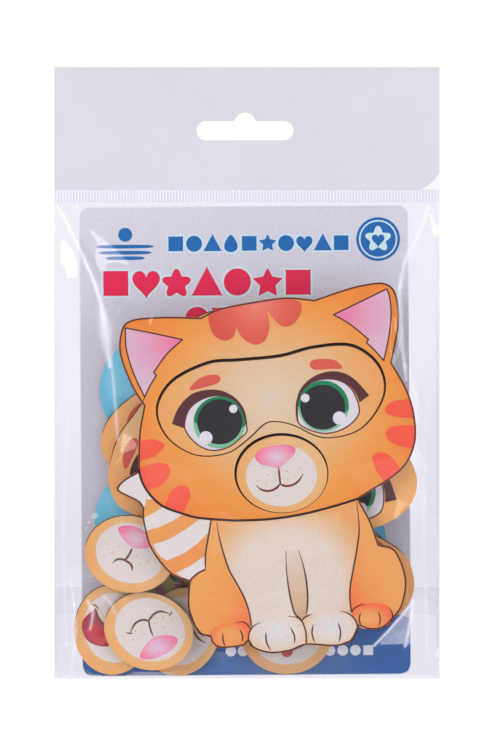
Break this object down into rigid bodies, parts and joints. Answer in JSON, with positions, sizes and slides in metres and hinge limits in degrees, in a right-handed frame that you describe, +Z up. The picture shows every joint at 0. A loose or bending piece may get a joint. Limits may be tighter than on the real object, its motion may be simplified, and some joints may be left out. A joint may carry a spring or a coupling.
{
  "type": "wooden puzzle set in a hang bag",
  "caption": "Hang bag with a euro slot, holding a backing card and a wooden kitten board with changeable eyes and muzzle, loose spare inserts and discs.",
  "frame": {"origin": "centre of the round bump in the hanging slot, in the plane of the header's back", "axes": "+Z up along the bag's height, +Y out of the back, so the front faces -Y; +X to the right as seen from the front"},
  "size_m": [0.1267, 0.0198, 0.2014],
  "materials": {
    "header_film": "matte white film header",
    "seal_film": "heat-welded ribs",
    "clear_film": "clear, crinkled film",
    "adhesive": "clear glue strip",
    "printed_card": "printed, satin",
    "bare_wood": "plain plywood with browned cut edges",
    "kitten_print": "printed plywood, satin",
    "eye_print": "printed plywood, satin",
    "muzzle_print": "printed plywood, satin",
    "disc_blue": "plain blue on plywood, satin"
  },
  "bodies": {
    "bag": {"header_strip": "header_film", "ribbed_seal": "seal_film", "bag_back_film": "clear_film", "bag_front_film": "clear_film"},
    "flap": {"closing_flap": "clear_film", "flap_adhesive": "adhesive"},
    "contents": {"backing_card": "printed_card"},
    "kitten_board": {"kitten_base_layer": "bare_wood", "kitten_face_layer": "kitten_print"},
    "eye_insert_1": {"eye_insert_1": "eye_print"},
    "muzzle_insert_1": {"muzzle_insert_1": "muzzle_print"},
    "eye_insert_2": {"eye_insert_2": "eye_print"},
    "eye_insert_3": {"eye_insert_3": "eye_print"},
    "eye_insert_4": {"eye_insert_4": "eye_print"},
    "eye_insert_5": {"eye_insert_5": "eye_print"},
    "eye_insert_6": {"eye_insert_6": "eye_print"},
    "muzzle_insert_2": {"muzzle_insert_2": "muzzle_print"},
    "muzzle_insert_3": {"muzzle_insert_3": "muzzle_print"},
    "muzzle_insert_4": {"muzzle_insert_4": "muzzle_print"},
    "muzzle_insert_5": {"muzzle_insert_5": "muzzle_print"},
    "muzzle_insert_6": {"muzzle_insert_6": "muzzle_print"},
    "blue_disc_1": {"blue_disc_1": "disc_blue"},
    "blue_disc_2": {"blue_disc_2": "disc_blue"},
    "blue_disc_3": {"blue_disc_3": "disc_blue"}
  },
  "joints": [
    {"name": "flap_open", "type": "hinge", "parent": "bag", "child": "flap", "pos_m": [0, 0.00015, -0.18276], "axis": [-1, 0, 0], "range_deg": [0, 175]},
    {"name": "contents_slide", "type": "slide", "parent": "bag", "child": "contents", "axis": [0, 0, -1], "range_m": [0, 0.175], "deforming": ["bag_front_film"]},
    {"name": "kitten_board_slide", "type": "slide", "parent": "contents", "child": "kitten_board", "axis": [0, 0, 1], "range_m": [0, 0.006]},
    {"name": "eye_insert_1_lift", "type": "slide", "parent": "kitten_board", "child": "eye_insert_1", "axis": [0, -1, 0], "range_m": [0, 0.0027]},
    {"name": "muzzle_insert_1_lift", "type": "slide", "parent": "kitten_board", "child": "muzzle_insert_1", "axis": [0, -1, 0], "range_m": [0, 0.0027]},
    {"name": "eye_insert_2_slide", "type": "slide", "parent": "contents", "child": "eye_insert_2", "axis": [0, 0, 1], "range_m": [0, 0.003]},
    {"name": "eye_insert_3_slide", "type": "slide", "parent": "contents", "child": "eye_insert_3", "axis": [0, 0, 1], "range_m": [0, 0.003]},
    {"name": "eye_insert_4_slide", "type": "slide", "parent": "contents", "child": "eye_insert_4", "axis": [0, 0, 1], "range_m": [0, 0.003]},
    {"name": "eye_insert_5_slide", "type": "slide", "parent": "contents", "child": "eye_insert_5", "axis": [0, 0, 1], "range_m": [0, 0.003]},
    {"name": "eye_insert_6_slide", "type": "slide", "parent": "contents", "child": "eye_insert_6", "axis": [0, 0, 1], "range_m": [0, 0.003]},
    {"name": "muzzle_insert_2_slide", "type": "slide", "parent": "contents", "child": "muzzle_insert_2", "axis": [0, 0, 1], "range_m": [0, 0.003]},
    {"name": "muzzle_insert_3_slide", "type": "slide", "parent": "contents", "child": "muzzle_insert_3", "axis": [0, 0, 1], "range_m": [0, 0.003]},
    {"name": "muzzle_insert_4_slide", "type": "slide", "parent": "contents", "child": "muzzle_insert_4", "axis": [0, 0, 1], "range_m": [0, 0.003]},
    {"name": "muzzle_insert_5_slide", "type": "slide", "parent": "contents", "child": "muzzle_insert_5", "axis": [0, 0, 1], "range_m": [0, 0.003]},
    {"name": "muzzle_insert_6_slide", "type": "slide", "parent": "contents", "child": "muzzle_insert_6", "axis": [0, 0, 1], "range_m": [0, 0.0015]},
    {"name": "blue_disc_1_slide", "type": "slide", "parent": "contents", "child": "blue_disc_1", "axis": [0, 0, 1], "range_m": [0, 0.003]},
    {"name": "blue_disc_2_slide", "type": "slide", "parent": "contents", "child": "blue_disc_2", "axis": [0, 0, 1], "range_m": [0, 0.003]},
    {"name": "blue_disc_3_slide", "type": "slide", "parent": "contents", "child": "blue_disc_3", "axis": [0, 0, 1], "range_m": [0, 0.003]}
  ]
}
